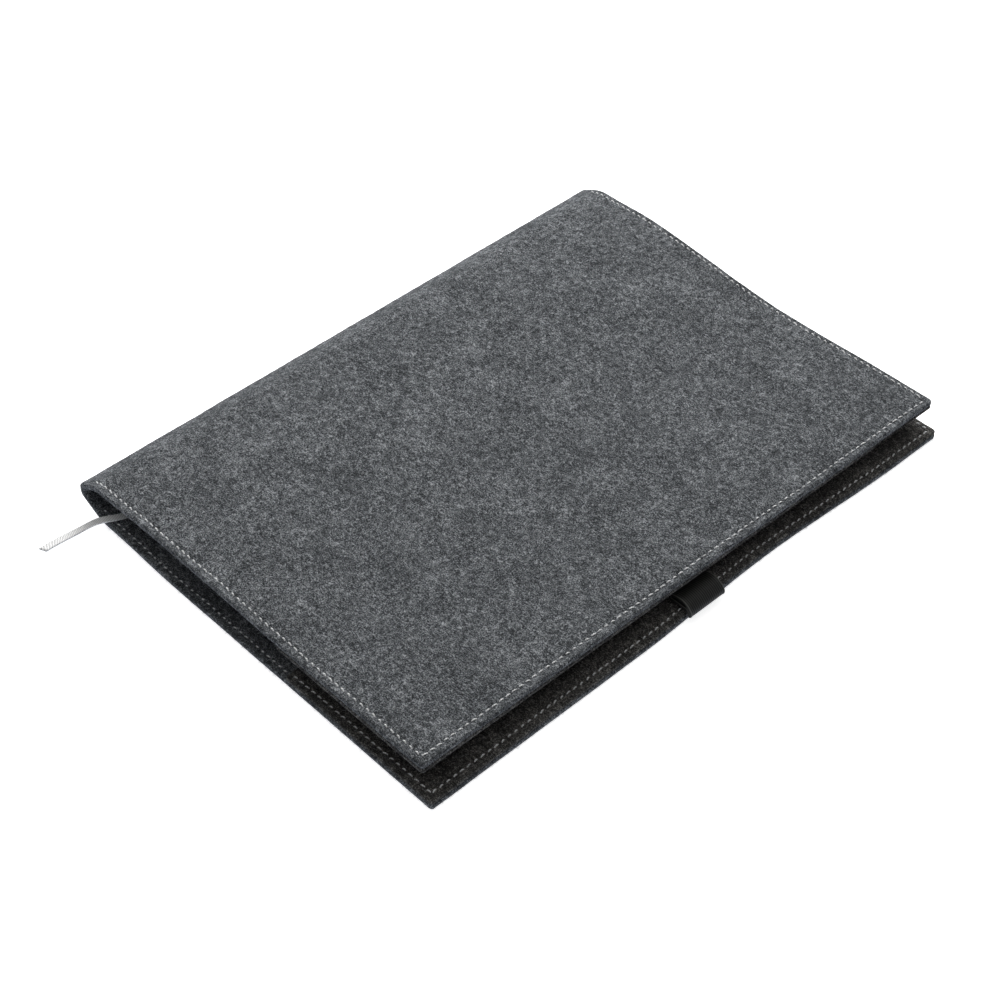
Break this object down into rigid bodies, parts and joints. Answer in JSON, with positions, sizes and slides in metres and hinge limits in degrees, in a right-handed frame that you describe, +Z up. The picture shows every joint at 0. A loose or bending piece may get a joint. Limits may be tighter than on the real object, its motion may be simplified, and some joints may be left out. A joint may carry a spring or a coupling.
{
  "type": "tablet case",
  "caption": "Folding felt tablet case that opens like a book, with stitched edges, inner pocket flaps, an elastic pen loop and a ribbon bookmark.",
  "frame": {"origin": "middle of the footprint of the shut case, ribbon left out, on the surface it lies on", "axes": "+X from the spine to the free edges, +Y from foot to head, +Z up through the shut boards"},
  "size_m": [0.1866, 0.2724, 0.02],
  "materials": {
    "outer_felt": "mottled grey needled felt, matt and fuzzy",
    "flap_felt": "mottled grey needled felt, matt",
    "seam_thread": "light grey twisted polyester thread",
    "loop_elastic": "black ribbed woven elastic",
    "ribbon_satin": "silver grey woven ribbon"
  },
  "bodies": {
    "back_board": {"back_felt": "outer_felt", "back_pocket_flap": "flap_felt", "back_outer_seam": "seam_thread", "back_inner_seam": "seam_thread", "pen_loop_tab": "loop_elastic", "ribbon_bookmark": "ribbon_satin", "ribbon_tack": "seam_thread"},
    "spine_lower": {"spine_felt_lower": "outer_felt"},
    "spine_nose": {"spine_felt_nose": "outer_felt"},
    "spine_upper": {"spine_felt_upper": "outer_felt"},
    "front_board": {"front_felt": "outer_felt", "front_pocket_flap": "flap_felt", "front_outer_seam": "seam_thread", "front_inner_seam": "seam_thread"},
    "pen_loop": {"pen_loop": "loop_elastic"}
  },
  "joints": [
    {"name": "back_fold", "type": "hinge", "parent": "back_board", "child": "spine_lower", "pos_m": [-0.08162, 0, 0.00229], "axis": [0, -1, 0], "range_deg": [0, 30]},
    {"name": "nose_fold_low", "type": "hinge", "parent": "spine_lower", "child": "spine_nose", "pos_m": [-0.09282, 0, 0.00859], "axis": [0, -1, 0], "range_deg": [0, 60]},
    {"name": "nose_fold_high", "type": "hinge", "parent": "spine_nose", "child": "spine_upper", "pos_m": [-0.09282, 0, 0.0129], "axis": [0, -1, 0], "range_deg": [0, 60]},
    {"name": "front_fold", "type": "hinge", "parent": "spine_upper", "child": "front_board", "pos_m": [-0.08299, 0, 0.01841], "axis": [0, -1, 0], "range_deg": [0, 30]},
    {"name": "pen_loop_swing", "type": "hinge", "parent": "back_board", "child": "pen_loop", "pos_m": [0.09209, 0, 0.0031], "axis": [0, 1, 0], "range_deg": [0, 120]}
  ],
  "couplings": [
    {"joint": "nose_fold_low", "follows": "back_fold", "ratio": 2},
    {"joint": "nose_fold_high", "follows": "back_fold", "ratio": 2},
    {"joint": "front_fold", "follows": "back_fold", "ratio": 1}
  ]
}
